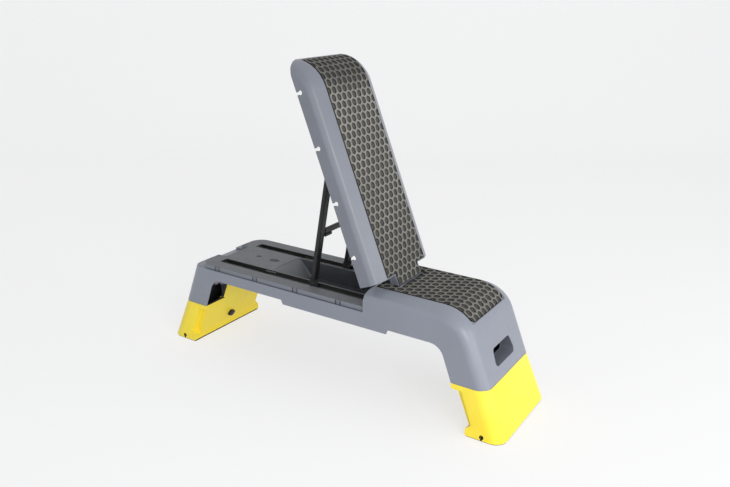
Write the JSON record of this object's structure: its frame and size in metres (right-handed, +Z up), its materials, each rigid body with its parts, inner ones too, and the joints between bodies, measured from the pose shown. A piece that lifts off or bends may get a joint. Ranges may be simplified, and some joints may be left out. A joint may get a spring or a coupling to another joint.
{
  "type": "aerobic step",
  "caption": "Long moulded exercise deck on folding legs; part of its top lifts into an inclined backrest held by a steel prop in slots.",
  "frame": {"origin": "on the floor under the middle of the step", "axes": "+X along the deck towards the seat end, +Y across the deck, +Z up"},
  "size_m": [1.252, 0.3326, 0.9783],
  "materials": {
    "shell_grey": "satin moulded",
    "tub_grey": "satin moulded",
    "mat_grey": "dimpled, matt",
    "leg_yellow": "satin moulded",
    "black_plastic": "satin",
    "black_rubber": "matt",
    "black_steel": "black satin",
    "plain_steel": "zinc plated"
  },
  "bodies": {
    "base": {"base_shell": "shell_grey", "storage_tub": "tub_grey", "slot_liner_near": "black_plastic", "slot_liner_far": "black_plastic", "seat_mat": "mat_grey", "hinge_rod": "plain_steel", "hinge_cap_near": "black_plastic", "hinge_cap_far": "black_plastic", "leg_pin_left": "plain_steel", "leg_pin_right": "plain_steel", "low_pad_left_near": "black_rubber", "low_pad_left_far": "black_rubber", "low_pad_right_near": "black_rubber", "low_pad_right_far": "black_rubber", "tub_screw_1": "plain_steel", "tub_screw_2": "plain_steel", "tub_screw_3": "plain_steel", "tub_screw_4": "plain_steel", "tub_screw_5": "plain_steel", "tub_screw_6": "plain_steel"},
    "back": {"backrest_shell": "shell_grey", "backrest_mat": "mat_grey", "prop_bracket_near": "black_steel", "prop_bracket_far": "black_steel", "bracket_screw_near_1": "plain_steel", "bracket_screw_near_2": "plain_steel", "bracket_screw_far_1": "plain_steel", "bracket_screw_far_2": "plain_steel", "prop_pin_near": "plain_steel", "prop_pin_far": "plain_steel"},
    "prop": {"prop_leg_near": "black_steel", "prop_leg_far": "black_steel", "prop_crossbar": "black_steel", "prop_sleeve": "black_plastic", "prop_foot_near": "black_rubber", "prop_foot_far": "black_rubber"},
    "foot_left": {"leg_left": "leg_yellow", "leg_sole_left": "black_rubber", "latch_spring_left": "plain_steel"},
    "foot_right": {"leg_right": "leg_yellow", "leg_sole_right": "black_rubber", "latch_spring_right": "plain_steel"},
    "knob_left": {"latch_knob_left": "black_plastic", "latch_clip_left": "plain_steel"},
    "knob_right": {"latch_knob_right": "black_plastic", "latch_clip_right": "plain_steel"}
  },
  "joints": [
    {"name": "backrest_hinge", "type": "hinge", "parent": "base", "child": "back", "pos_m": [0.2195, 0, 0.3235], "axis": [0, 1, 0], "range_deg": [-68.2, 12]},
    {"name": "prop_hinge", "type": "hinge", "parent": "back", "child": "prop", "pos_m": [0.02524, 0, 0.74457], "axis": [0, 1, 0], "range_deg": [-32, 6]},
    {"name": "leg_right_hinge", "type": "hinge", "parent": "base", "child": "foot_right", "pos_m": [0.4689, 0, 0.2095], "axis": [0, 1, 0], "range_deg": [0, 111.9]},
    {"name": "leg_left_hinge", "type": "hinge", "parent": "base", "child": "foot_left", "pos_m": [-0.4689, 0, 0.2095], "axis": [0, -1, 0], "range_deg": [0, 111.9]},
    {"name": "knob_right_pull", "type": "slide", "parent": "foot_right", "child": "knob_right", "axis": [-0.9278, 0, -0.373], "range_m": [0, 0.0105], "stiffness_N_per_m": 600, "springref_m": -0.008, "deforming": ["latch_spring_right"]},
    {"name": "knob_left_pull", "type": "slide", "parent": "foot_left", "child": "knob_left", "axis": [0.9278, 0, -0.373], "range_m": [0, 0.0105], "stiffness_N_per_m": 600, "springref_m": -0.008, "deforming": ["latch_spring_left"]}
  ],
  "couplings": [
    {"joint": "prop_hinge", "follows": "backrest_hinge", "ratio": 0.46628}
  ]
}
